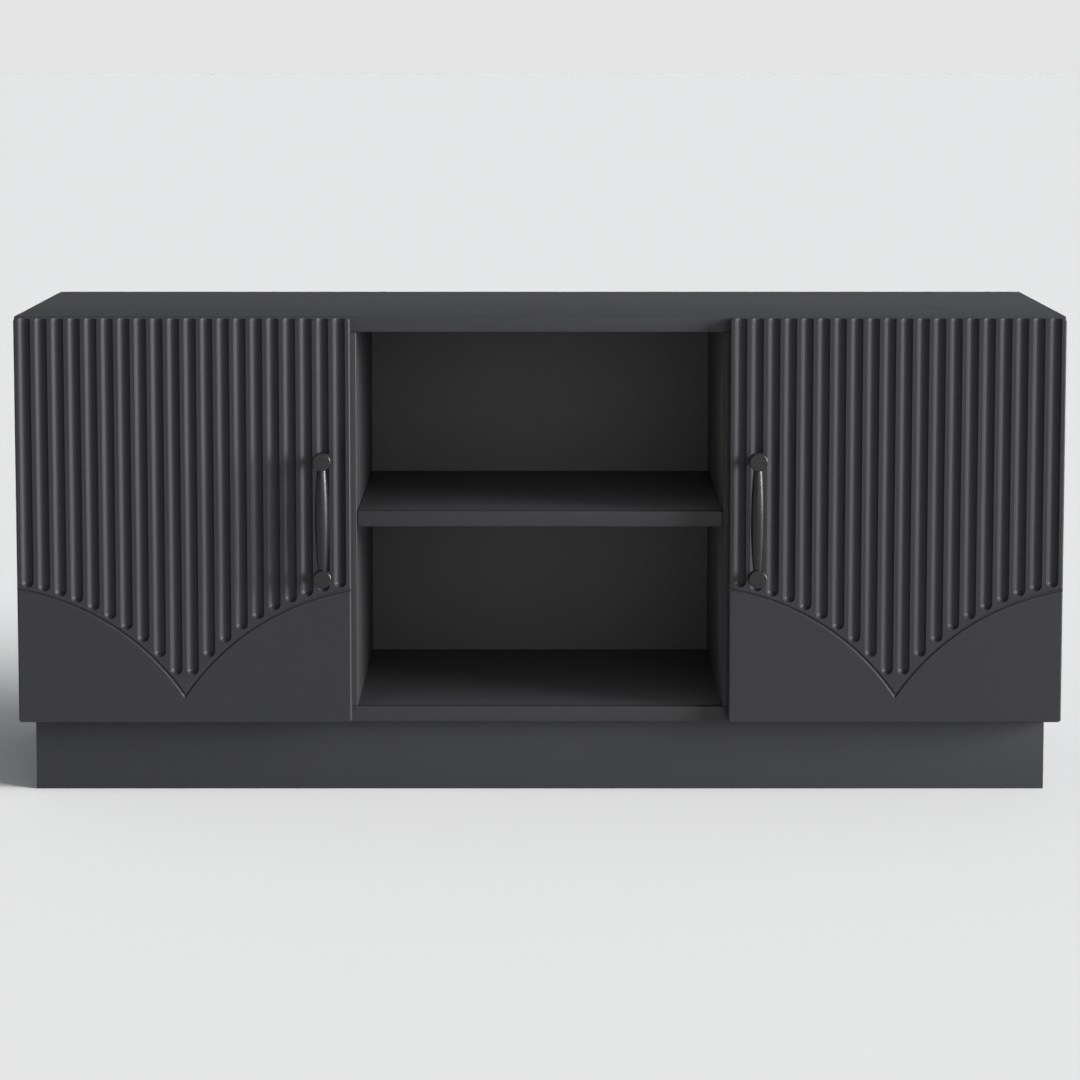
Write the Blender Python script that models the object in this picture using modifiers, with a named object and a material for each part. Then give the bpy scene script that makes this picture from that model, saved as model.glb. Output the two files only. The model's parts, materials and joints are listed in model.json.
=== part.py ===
"""A low sideboard: two fluted doors, an open centre bay with one shelf, and a recessed plinth.

Units are metres. +Z is up, the front faces -Y, and the origin is on the floor, under the middle of
the whole piece with its handles. Hinge places are given as two distances from a front corner of the
carcase: INWARD from its outer side, and FORWARD of its front edges.
"""

import math

import bmesh
import bpy
from mathutils import Matrix, Vector

# Driving dimensions of the whole piece
WIDTH = 1.200
HEIGHT = 0.552
CARCASE_DEPTH = 0.380
BOARD = 0.018
FIT_GAP = 0.0003  # between two pieces that touch or fit
EDGE_EASE = 0.0008
ROUND_SIDES = 16

# Plinth
PLINTH_HEIGHT = 0.083
PLINTH_SIDE_INSET = 0.0155
PLINTH_FRONT_INSET = 0.0195
PLINTH_BACK_INSET = 0.020

# Centre bay, shelves and back
BAY_WIDTH = 0.420
SHELF_TOP = 0.328
SIDE_SHELF_SETBACK = 0.030
SHELF_SIDE_GAP = 0.001
BACK_THICKNESS = 0.006
BACK_INSET = 0.008
GROOVE_DEPTH = 0.008
PIN_RADIUS = 0.0025
PIN_LENGTH = 0.016
PIN_SETBACK = 0.050
PIN_HOLE_DEPTH = 0.0085

# Doors
DOOR_THICKNESS = 0.018
DOOR_GAP = 0.002  # door back to carcase front
DOOR_REVEAL = 0.002  # door side to carcase side
DOOR_TOP_DROP = 0.001
DOOR_BOTTOM_RISE = 0.003
DOOR_LAP = 0.0119  # of a door over its partition
DOOR_CORNER = 0.0035
DOOR_ROUNDING = 0.002

# Flutes and the carved line under them
FLUTE_PITCH = 0.0188
FLUTE_WIDTH = 0.0137
FLUTE_DEPTH = 0.0045
FLUTE_MARGIN = 0.005  # least width of plain wood beside the outermost flutes
FLUTE_SIDES = 18
FLUTE_NOSE_ANGLES = (-90, -68, -46, -23, 0)  # degrees round the ball end
FLUTE_TO_LINE = 0.0112  # from a flute's ball end to the middle of the line
LINE_TIP = 0.031  # above the door's bottom edge
LINE_RISE = 0.123  # from the tip to where the line meets the door's sides
LINE_RADIUS = 0.285
LINE_WIDTH = 0.0038
LINE_CUTTER = 0.0020
LINE_POINTS = 14

# Handles
HANDLE_FLUTE = 2  # counted from the door's inner edge
HANDLE_ABOVE_FLUTE_END = 0.0118  # from its flute's ball end to its lower post
HANDLE_CENTRES = 0.134
HANDLE_PROJECTION = 0.030
HANDLE_DISC_RADIUS = 0.0105
HANDLE_DISC_LENGTH = 0.012
HANDLE_DISC_ROUNDING = 0.0016
HANDLE_POST_RADIUS = 0.0045
GRIP_AXIS = 0.022  # in front of the door
GRIP_RADIUS = 0.008
GRIP_NECK_RADIUS = 0.00425
GRIP_STEPS = 12
SCREW_RADIUS = 0.00195
SCREW_HEAD_RADIUS = 0.004
SCREW_HEAD_LENGTH = 0.0022
SCREW_INTO_POST = 0.010

# Concealed hinges; places are (inward, forward), counted inward from the side panel's inner face
HINGE_FROM_DOOR_END = 0.090
CUP_RADIUS = 0.0175
CUP_SIDES = 24
CUP_WALL = 0.001
CUP_PAST_BOARD = 0.0065
CUP_INSIDE_DEPTH = 0.010
CUP_BOTTOM = 0.0008
CUP_RIM_LIP = 0.0011
CUP_RIM_THICKNESS = 0.0004
CUP_WING_WIDTH = 0.010
CUP_WING_LENGTH = 0.0085
LINK_PIVOT_PAST_BOARD = (0.014, 0.004)  # on the arm
CUP_PIVOT_PAST_BOARD = (-0.0045, 0.0065)  # in the cup
LINK_BOW = 0.005
LINK_THICKNESS = 0.0018
LINK_WIDTH = 0.007
LINK_EYE_RADIUS = 0.0027
LINK_STEPS = 16
EYE_STEPS = 6
HINGE_PIN_RADIUS = 0.0015
HINGE_HOLE_SIDES = 12
ARM_NOSE_RADIUS = 0.003
ARM_NOSE_STEPS = 8
ARM_WIDTH = 0.013
ARM_NECK_BACK = 0.010  # behind the carcase front
ARM_BACK = 0.058
ARM_SLOT_BACK = 0.006
PLATE_THICKNESS = 0.0034
PLATE_SPAN = (0.022, 0.062)  # behind the carcase front
PLATE_WIDTH = 0.018
PLATE_WING_HEIGHT = 0.050
PLATE_WING_WIDTH = 0.012
PLATE_WING_SETBACK = 0.037

# Door bumpers
BUMPER_RADIUS = 0.004
BUMPER_FROM_DOOR_END = 0.020

# Worked out from those above
PROJECTION = DOOR_GAP + DOOR_THICKNESS + HANDLE_PROJECTION
FRONT = PROJECTION - (CARCASE_DEPTH + PROJECTION) / 2  # Y of the carcase's front edges
BACK = FRONT + CARCASE_DEPTH
FLOOR_TOP = PLINTH_HEIGHT + BOARD
TOP_UNDERSIDE = HEIGHT - BOARD
SIDE_INSIDE = WIDTH / 2 - BOARD
PARTITION_IN = BAY_WIDTH / 2
PARTITION_OUT = PARTITION_IN + BOARD
BACK_FACE = BACK - BACK_INSET - BACK_THICKNESS
DOOR_BACK = DOOR_GAP
DOOR_FACE = DOOR_GAP + DOOR_THICKNESS
DOOR_OUTER = WIDTH / 2 - DOOR_REVEAL
DOOR_INNER = PARTITION_OUT - DOOR_LAP
DOOR_WIDTH = DOOR_OUTER - DOOR_INNER
DOOR_CENTRE = (DOOR_OUTER + DOOR_INNER) / 2
DOOR_BOTTOM = PLINTH_HEIGHT + DOOR_BOTTOM_RISE
DOOR_TOP = HEIGHT - DOOR_TOP_DROP
FLUTES = 1 + int((DOOR_WIDTH - FLUTE_WIDTH - 2 * FLUTE_MARGIN) / FLUTE_PITCH)
FLUTE_RADIUS = (FLUTE_WIDTH**2 / 4 + FLUTE_DEPTH**2) / (2 * FLUTE_DEPTH)
HANDLE_FROM_CENTRE = (FLUTES + 1 - 2 * HANDLE_FLUTE) / 2 * FLUTE_PITCH
HANDLE_X = DOOR_CENTRE - HANDLE_FROM_CENTRE
HINGE_HEIGHTS = {"lower": DOOR_BOTTOM + HINGE_FROM_DOOR_END, "upper": DOOR_TOP - HINGE_FROM_DOOR_END}
CUP_INWARD = BOARD + CUP_PAST_BOARD
LINK_PIVOT = Vector((BOARD + LINK_PIVOT_PAST_BOARD[0], LINK_PIVOT_PAST_BOARD[1]))
CUP_PIVOT = Vector((BOARD + CUP_PIVOT_PAST_BOARD[0], CUP_PIVOT_PAST_BOARD[1]))
SIDES = {"left": -1, "right": 1}


# ---------------------------------------------------------------- scene, materials and helpers


def clear_scene():
    for obj in list(bpy.data.objects):
        bpy.data.objects.remove(obj)


def collection(name):
    made = bpy.data.collections.new(name)
    bpy.context.scene.collection.children.link(made)
    return made


def material(name, colour, roughness, metallic=0.0):
    made = bpy.data.materials.new(name)
    made.use_nodes = True
    shader = made.node_tree.nodes["Principled BSDF"]
    shader.inputs["Base Color"].default_value = (*colour, 1)
    shader.inputs["Roughness"].default_value = roughness
    shader.inputs["Metallic"].default_value = metallic
    return made


clear_scene()
PARTS = collection("sideboard")
CUTTERS = collection("cutters")
CUTTERS.hide_render = True
LACQUER = material("graphite_lacquer", (0.050, 0.050, 0.054), 0.45)
BACK_BOARD = material("back_board", (0.045, 0.045, 0.049), 0.6)
HANDLE_METAL = material("dark_metal", (0.05, 0.05, 0.052), 0.4, 0.8)
HINGE_METAL = material("nickel_plate", (0.56, 0.55, 0.53), 0.28, 1.0)
STEEL = material("zinc_plated_steel", (0.48, 0.48, 0.48), 0.35, 1.0)
BUMPER_PLASTIC = material("clear_bumper", (0.6, 0.6, 0.6), 0.5)


def new_object(name, data, finish=None):
    """Link an object in the parts collection, or in the cutters when it has no finish."""
    obj = bpy.data.objects.new(name, data)
    if finish is None:
        CUTTERS.objects.link(obj)
        obj.hide_render = True
        obj.display_type = "WIRE"
    else:
        PARTS.objects.link(obj)
        data.materials.clear()
        data.materials.append(finish)
    return obj


def mesh_from(bm, name):
    mesh = bpy.data.meshes.new(name)
    bm.to_mesh(mesh)
    bm.free()
    return mesh


def box(name, low, high, finish=None, ease=EDGE_EASE):
    """A box between two corners, its edges eased when it is a part."""
    low, high = Vector(low), Vector(high)
    size = high - low
    bm = bmesh.new()
    bmesh.ops.create_cube(bm, size=1)
    bmesh.ops.scale(bm, vec=size, verts=bm.verts)
    if finish is not None and ease:
        bmesh.ops.bevel(bm, geom=bm.edges, offset=ease, segments=1, profile=0.5, affect="EDGES")
    obj = new_object(name, mesh_from(bm, name), finish)
    obj.location = (low + high) / 2
    return obj


def turned(name, profile, finish=None, location=(0, 0, 0), rotation=(0, 0, 0), sides=ROUND_SIDES):
    """A turned piece: (radius, height) points from its top down, made round by a Screw modifier."""
    mesh = bpy.data.meshes.new(name)
    points = [(radius, 0, height) for radius, height in profile]
    mesh.from_pydata(points, [(i, i + 1) for i in range(len(points) - 1)], [])
    obj = new_object(name, mesh, finish)
    obj.location = location
    obj.rotation_euler = rotation
    screw = obj.modifiers.new("turn", "SCREW")
    screw.axis = "Z"
    screw.steps = screw.render_steps = sides
    screw.use_merge_vertices = True
    screw.merge_threshold = 0.00001
    screw.use_smooth_shade = True
    return obj


def rod(name, radius, length, **place):
    """A plain cylinder, centred on its location."""
    half = length / 2
    return turned(name, [(0, half), (radius, half), (radius, -half), (0, -half)], **place)


def plate(name, outlines, thickness, finish, location):
    """A flat piece in the XY plane, from an outline and any holes in it, centred on its thickness."""
    curve = bpy.data.curves.new(name, "CURVE")
    curve.dimensions = "2D"
    curve.fill_mode = "BOTH"
    curve.extrude = thickness / 2
    for outline in outlines:
        spline = curve.splines.new("POLY")
        spline.points.add(len(outline) - 1)
        for point, place in zip(spline.points, outline):
            point.co = (*place, 0, 1)
        spline.use_cyclic_u = True
    return as_mesh(name, curve, finish, location)


def as_mesh(name, curve, finish, location):
    """Turn a curve into a welded mesh object, so that Booleans can cut it or cut with it."""
    source = bpy.data.objects.new(name + "_curve", curve)
    CUTTERS.objects.link(source)
    bpy.context.view_layer.update()
    evaluated = source.evaluated_get(bpy.context.evaluated_depsgraph_get())
    mesh = bpy.data.meshes.new_from_object(evaluated)
    bpy.data.objects.remove(source)
    bm = bmesh.new()
    bm.from_mesh(mesh)
    bmesh.ops.remove_doubles(bm, verts=bm.verts, dist=0.000001)
    bmesh.ops.recalc_face_normals(bm, faces=bm.faces)
    bm.to_mesh(mesh)
    bm.free()
    obj = new_object(name, mesh, finish)
    obj.location = location
    return obj


def combine(target, other, operation):
    """Add a Boolean to the target, and put the other object with the cutters."""
    modifier = target.modifiers.new(other.name, "BOOLEAN")
    modifier.operation = operation
    modifier.object = other


def cut(target, cutter):
    combine(target, cutter, "DIFFERENCE")


def join(target, other):
    combine(target, other, "UNION")


def axis_empty(name, location):
    empty = bpy.data.objects.new(name, None)
    empty.location = location
    empty.empty_display_size = 0.03
    PARTS.objects.link(empty)
    return empty


def attach(obj, empty):
    """Parent a piece to its joint's empty without moving it."""
    obj.parent = empty
    obj.matrix_parent_inverse = Matrix.Translation(-empty.location)
    return obj


def corner_place(side, inward, forward, height=0.0):
    """A hinge place in world coordinates; side is -1 on the left and 1 on the right."""
    return Vector((side * (WIDTH / 2 - inward), FRONT - forward, height))


def corner_box(name, side, inward, forward, heights, finish=None):
    """A box given by its spans inward, forward and in height."""
    near = corner_place(side, inward[0], forward[0], heights[0])
    far = corner_place(side, inward[1], forward[1], heights[1])
    low = [min(pair) for pair in zip(near, far)]
    high = [max(pair) for pair in zip(near, far)]
    return box(name, low, high, finish)


# ---------------------------------------------------------------- carcase


def make_carcase():
    gap = FIT_GAP
    groove = (BACK_FACE - gap, BACK - BACK_INSET + gap)
    half = WIDTH / 2
    top = box("top_panel", (-half, FRONT, TOP_UNDERSIDE), (half, BACK, HEIGHT), LACQUER)
    bottom = box("bottom_panel", (-half, FRONT, PLINTH_HEIGHT), (half, BACK, FLOOR_TOP), LACQUER)
    reach = SIDE_INSIDE + GROOVE_DEPTH
    back_low = FLOOR_TOP - GROOVE_DEPTH
    back_high = TOP_UNDERSIDE + GROOVE_DEPTH
    tunnel = box("back_groove", (-reach, groove[0], back_low), (reach, groove[1], back_high))
    cut(top, tunnel)
    cut(bottom, tunnel)
    low, high = FLOOR_TOP + gap, TOP_UNDERSIDE - gap
    panels = {}
    for name, side in SIDES.items():
        outer, inner = sorted((side * half, side * SIDE_INSIDE))
        panels["side", name] = box(f"side_panel_{name}", (outer, FRONT, low), (inner, BACK, high), LACQUER)
        cut(panels["side", name], tunnel)
        outer, inner = sorted((side * PARTITION_OUT, side * PARTITION_IN))
        panels["partition", name] = box(
            f"partition_{name}", (outer, FRONT, low), (inner, BACK_FACE - gap, high), LACQUER
        )
    box(
        "back_panel",
        (-reach + gap, BACK_FACE, back_low + gap),
        (reach - gap, BACK - BACK_INSET, back_high - gap),
        BACK_BOARD,
        ease=0,
    )
    edge = PARTITION_IN - gap
    box("centre_shelf", (-edge, FRONT, SHELF_TOP - BOARD), (edge, BACK_FACE - gap, SHELF_TOP), LACQUER)
    return panels


def make_side_shelves(panels):
    """A loose shelf behind each door, on four pins in the boards beside it."""
    for name, side in SIDES.items():
        outer = SIDE_INSIDE - SHELF_SIDE_GAP
        inner = PARTITION_OUT + SHELF_SIDE_GAP
        low_x, high_x = sorted((side * outer, side * inner))
        front = FRONT + SIDE_SHELF_SETBACK
        rear = BACK_FACE - SHELF_SIDE_GAP
        box(f"{name}_shelf", (low_x, front, SHELF_TOP - BOARD), (high_x, rear, SHELF_TOP), LACQUER)
        pin_height = SHELF_TOP - BOARD - FIT_GAP - PIN_RADIUS
        faces = {"side": (SIDE_INSIDE, 1), "partition": (PARTITION_OUT, -1)}
        for board, (face, into) in faces.items():
            for place, pin_y in (("front", front + PIN_SETBACK), ("rear", rear - PIN_SETBACK)):
                hole_span = [side * (face + into * PIN_HOLE_DEPTH), side * (face - into * PIN_LENGTH)]
                hole = rod(
                    f"{name}_{board}_{place}_pin_hole",
                    PIN_RADIUS + FIT_GAP,
                    abs(hole_span[1] - hole_span[0]),
                    location=(sum(hole_span) / 2, pin_y, pin_height),
                    rotation=(0, math.pi / 2, 0),
                )
                cut(panels[board, name], hole)
                middle = face + into * (PIN_HOLE_DEPTH - FIT_GAP - PIN_LENGTH / 2)
                rod(
                    f"shelf_pin_{name}_{board}_{place}",
                    PIN_RADIUS,
                    PIN_LENGTH,
                    finish=STEEL,
                    location=(side * middle, pin_y, pin_height),
                    rotation=(0, math.pi / 2, 0),
                )


def make_plinth():
    half = WIDTH / 2 - PLINTH_SIDE_INSET
    front = FRONT + PLINTH_FRONT_INSET
    back = BACK - PLINTH_BACK_INSET
    high = PLINTH_HEIGHT - FIT_GAP
    inner_front = front + BOARD + FIT_GAP
    inner_back = back - BOARD - FIT_GAP
    box("plinth_front", (-half, front, 0), (half, front + BOARD, high), LACQUER)
    box("plinth_back", (-half, back - BOARD, 0), (half, back, high), LACQUER)
    for name, side in SIDES.items():
        low_x, high_x = sorted((side * half, side * (half - BOARD)))
        box(f"plinth_side_{name}", (low_x, inner_front, 0), (high_x, inner_back, high), LACQUER)
    box("plinth_brace", (-BOARD / 2, inner_front, 0), (BOARD / 2, inner_back, high), LACQUER)


# ---------------------------------------------------------------- doors


def line_circle():
    """The centre of one half of the carved line, as (along, up) from the line's tip."""
    half = DOOR_WIDTH / 2
    chord = math.hypot(half, LINE_RISE)
    away = math.sqrt(LINE_RADIUS**2 - chord**2 / 4)
    return Vector((half / 2 + away * LINE_RISE / chord, LINE_RISE / 2 - away * half / chord))


def line_height(along, offset=0.0):
    """Height above the tip of the line, moved outwards by offset, at a distance from the door's middle."""
    centre = line_circle()
    return centre.y + math.sqrt((LINE_RADIUS + offset) ** 2 - (abs(along) - centre.x) ** 2)


def flute_cutter(name, centre_x):
    """The flutes of one door: round-nosed rods that run out through its top edge."""
    bm = bmesh.new()
    axis_y = FRONT - DOOR_FACE - (FLUTE_RADIUS - FLUTE_DEPTH)
    top = DOOR_TOP + FLUTE_WIDTH
    nose = [math.radians(angle) for angle in FLUTE_NOSE_ANGLES]
    for i in range(FLUTES):
        along = (i - (FLUTES - 1) / 2) * FLUTE_PITCH
        ball = ball_height(along)
        profile = [(FLUTE_RADIUS * math.cos(a), ball + FLUTE_RADIUS * math.sin(a)) for a in nose]
        profile[0] = (0, ball - FLUTE_RADIUS)
        profile += [(FLUTE_RADIUS, top), (0, top)]
        verts = [bm.verts.new((centre_x + along + r, axis_y, z)) for r, z in profile]
        edges = [bm.edges.new(pair) for pair in zip(verts, verts[1:])]
        bmesh.ops.spin(
            bm,
            geom=verts + edges,
            cent=(centre_x + along, axis_y, 0),
            axis=(0, 0, 1),
            angle=2 * math.pi,
            steps=FLUTE_SIDES,
            use_merge=True,
        )
    bmesh.ops.remove_doubles(bm, verts=bm.verts, dist=0.000001)
    bmesh.ops.recalc_face_normals(bm, faces=bm.faces)
    return new_object(name, mesh_from(bm, name))


def line_cutter(name, centre_x):
    """The carved line: a round tool along two arcs that meet in a point."""
    sunk = math.sqrt(LINE_CUTTER**2 - LINE_WIDTH**2 / 4)
    reach = DOOR_WIDTH / 2 + 2 * LINE_CUTTER
    half = [reach * i / LINE_POINTS for i in range(1, LINE_POINTS + 1)]
    curve = bpy.data.curves.new(name, "CURVE")
    curve.dimensions = "3D"
    curve.bevel_depth = LINE_CUTTER
    curve.bevel_resolution = 1
    curve.use_fill_caps = True
    places = [-along for along in reversed(half)] + [0] + half
    spline = curve.splines.new("POLY")
    spline.points.add(len(places) - 1)
    for point, along in zip(spline.points, places):
        point.co = (along, 0, line_height(along), 1)
    tip = (centre_x, FRONT - DOOR_FACE - sunk, DOOR_BOTTOM + LINE_TIP)
    return as_mesh(name, curve, None, tip)


def make_door(name, side, empty):
    centre_x = side * DOOR_CENTRE
    low = Vector((-DOOR_WIDTH / 2, -DOOR_THICKNESS / 2, (DOOR_BOTTOM - DOOR_TOP) / 2))
    bm = bmesh.new()
    bmesh.ops.create_cube(bm, size=1)
    bmesh.ops.scale(bm, vec=-2 * low, verts=bm.verts)
    through = [e for e in bm.edges if abs((e.verts[0].co - e.verts[1].co).y) > DOOR_THICKNESS / 2]
    bmesh.ops.bevel(bm, geom=through, offset=DOOR_CORNER, segments=4, profile=0.5, affect="EDGES")
    rim = [e for e in bm.edges if all(abs(v.co.y - low.y) < FIT_GAP for v in e.verts) and e.is_manifold]
    rim = [e for e in rim if any(abs(f.normal.y) < 0.5 for f in e.link_faces)]
    bmesh.ops.bevel(bm, geom=rim, offset=DOOR_ROUNDING, segments=3, profile=0.5, affect="EDGES")
    door = new_object(f"door_{name}", mesh_from(bm, f"door_{name}"), LACQUER)
    door.location = (centre_x, FRONT - (DOOR_BACK + DOOR_FACE) / 2, (DOOR_BOTTOM + DOOR_TOP) / 2)
    cut(door, flute_cutter(f"door_{name}_flutes", centre_x))
    cut(door, line_cutter(f"door_{name}_line", centre_x))
    cup_depth = CUP_INSIDE_DEPTH + CUP_BOTTOM + FIT_GAP
    for level, height in HINGE_HEIGHTS.items():
        bore = rod(
            f"door_{name}_{level}_cup_bore",
            CUP_RADIUS + FIT_GAP,
            2 * cup_depth,
            location=corner_place(side, CUP_INWARD, DOOR_BACK, height),
            rotation=(math.pi / 2, 0, 0),
            sides=CUP_SIDES,
        )
        cut(door, bore)
    for level, height in handle_ends().items():
        hole = rod(
            f"door_{name}_{level}_screw_hole",
            SCREW_RADIUS + FIT_GAP,
            4 * DOOR_THICKNESS,
            location=(side * HANDLE_X, FRONT - DOOR_BACK, height),
            rotation=(math.pi / 2, 0, 0),
        )
        cut(door, hole)
    attach(door, empty)


def ball_height(along):
    """Height of the middle of a flute's ball end, for a flute at a distance from the door's middle."""
    return DOOR_BOTTOM + LINE_TIP + line_height(along, FLUTE_TO_LINE)


def handle_ends():
    """Heights of a handle's two posts: both stand in one flute, the lower one just above its ball end."""
    lower = ball_height(HANDLE_FROM_CENTRE) + HANDLE_ABOVE_FLUTE_END
    return {"lower": lower, "upper": lower + HANDLE_CENTRES}


def seat_depth():
    """How deep a post's flat end goes in a flute before its edge meets the flute's sides."""
    drop = FLUTE_RADIUS - FLUTE_DEPTH
    return math.sqrt(FLUTE_RADIUS**2 - HANDLE_POST_RADIUS**2) - drop - FIT_GAP


def make_handle(name, side, empty):
    """Two posts with flat round ends, joined by a grip that swells in the middle, and their screws."""
    half = HANDLE_CENTRES / 2
    grip_profile = []
    for i in range(GRIP_STEPS + 1):
        share = 1 - 2 * i / GRIP_STEPS
        radius = GRIP_NECK_RADIUS + (GRIP_RADIUS - GRIP_NECK_RADIUS) * (1 - share**2)
        grip_profile.append((radius, share * half))
    grip_profile = [(0, half)] + grip_profile + [(0, -half)]
    grip = turned(
        f"handle_{name}",
        grip_profile,
        HANDLE_METAL,
        location=(side * HANDLE_X, FRONT - DOOR_FACE - GRIP_AXIS, sum(handle_ends().values()) / 2),
    )
    disc_back = HANDLE_PROJECTION - HANDLE_DISC_LENGTH
    rounding = [math.radians(angle) for angle in (90, 60, 30, 0)]
    rim = HANDLE_DISC_RADIUS - HANDLE_DISC_ROUNDING
    end_profile = [(0, HANDLE_PROJECTION)]
    for a in rounding:
        height = HANDLE_PROJECTION - HANDLE_DISC_ROUNDING * (1 - math.sin(a))
        end_profile.append((rim + HANDLE_DISC_ROUNDING * math.cos(a), height))
    for a in reversed(rounding):
        height = disc_back + HANDLE_DISC_ROUNDING * (1 - math.sin(a))
        end_profile.append((rim + HANDLE_DISC_ROUNDING * math.cos(a), height))
    end_profile += [(HANDLE_POST_RADIUS, disc_back), (HANDLE_POST_RADIUS, -seat_depth()), (0, -seat_depth())]
    forward = (math.pi / 2, 0, 0)
    for level, height in handle_ends().items():
        face = (side * HANDLE_X, FRONT - DOOR_FACE, height)
        join(grip, turned(f"handle_{name}_{level}_end", end_profile, None, face, forward))
        reach = SCREW_INTO_POST - seat_depth()
        bore = rod(
            f"handle_{name}_{level}_bore",
            SCREW_RADIUS + FIT_GAP,
            2 * (reach + FIT_GAP),
            location=face,
            rotation=forward,
        )
        cut(grip, bore)
        head = -DOOR_THICKNESS - FIT_GAP
        screw_profile = [
            (0, reach),
            (SCREW_RADIUS, reach),
            (SCREW_RADIUS, head),
            (SCREW_HEAD_RADIUS, head),
            (SCREW_HEAD_RADIUS, head - SCREW_HEAD_LENGTH),
            (0, head - SCREW_HEAD_LENGTH),
        ]
        attach(turned(f"handle_screw_{name}_{level}", screw_profile, STEEL, face, forward), empty)
    attach(grip, empty)


def make_bumpers(name, side, empty):
    """Two soft dots on the door's back, which meet the partition's front edge."""
    thickness = DOOR_GAP - 2 * FIT_GAP
    x = side * (PARTITION_OUT + DOOR_INNER) / 2
    ends = {"lower": DOOR_BOTTOM + BUMPER_FROM_DOOR_END, "upper": DOOR_TOP - BUMPER_FROM_DOOR_END}
    for level, height in ends.items():
        dot = rod(
            f"door_bumper_{name}_{level}",
            BUMPER_RADIUS,
            thickness,
            finish=BUMPER_PLASTIC,
            location=(x, FRONT - DOOR_GAP / 2, height),
            rotation=(math.pi / 2, 0, 0),
        )
        attach(dot, empty)


# ---------------------------------------------------------------- hinges


def arc(centre, radius, start, sweep, steps):
    angles = [start + sweep * i / steps for i in range(steps + 1)]
    return [centre + radius * Vector((math.cos(a), math.sin(a))) for a in angles]


def link_outline():
    """The link's outer edge, inward and forward of the link pivot: a bowed strip with an eye at each end."""
    span = CUP_PIVOT - LINK_PIVOT
    inside_eye = LINK_EYE_RADIUS / 3
    sides = ([], [])
    for i in range(LINK_STEPS + 1):
        s = i / LINK_STEPS
        middle = span * s + Vector((0, LINK_BOW * 4 * s * (1 - s)))
        along = (span + Vector((0, LINK_BOW * 4 * (1 - 2 * s)))).normalized()
        across = Vector((-along.y, along.x))
        to_eye = min(middle.length, (middle - span).length)
        width = math.sqrt(max(LINK_EYE_RADIUS**2 - to_eye**2, (LINK_THICKNESS / 2) ** 2))
        if to_eye > inside_eye:
            sides[0].append(middle + across * width)
            sides[1].append(middle - across * width)
        elif s < 0.5:
            start = along
        else:
            end = along
    start_angle = math.atan2(start.y, start.x)
    end_angle = math.atan2(end.y, end.x)
    first = arc(Vector((0, 0)), LINK_EYE_RADIUS, start_angle + math.pi / 2, math.pi, EYE_STEPS)
    last = arc(span, LINK_EYE_RADIUS, end_angle - math.pi / 2, math.pi, EYE_STEPS)
    return first + sides[1] + last + sides[0][::-1]


def hole_outline(centre):
    last = HINGE_HOLE_SIDES - 1
    return arc(centre, HINGE_PIN_RADIUS + FIT_GAP, 0, 2 * math.pi * last / HINGE_HOLE_SIDES, last)


def arm_outline():
    """The arm's side view, measured from the carcase corner: a nose round the pivot, then a wide back."""
    nose = arc(LINK_PIVOT, ARM_NOSE_RADIUS, 0, math.pi, ARM_NOSE_STEPS)
    low = BOARD + PLATE_THICKNESS + 2 * FIT_GAP
    high = LINK_PIVOT.x + ARM_NOSE_RADIUS
    outer = LINK_PIVOT.x - ARM_NOSE_RADIUS
    slant = -ARM_NECK_BACK - (outer - low)
    back = [(outer, -ARM_NECK_BACK), (low, slant), (low, -ARM_BACK), (high, -ARM_BACK)]
    return nose + [Vector(place) for place in back]


def to_world(side, places):
    return [(-side * place.x, -place.y) for place in places]


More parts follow.
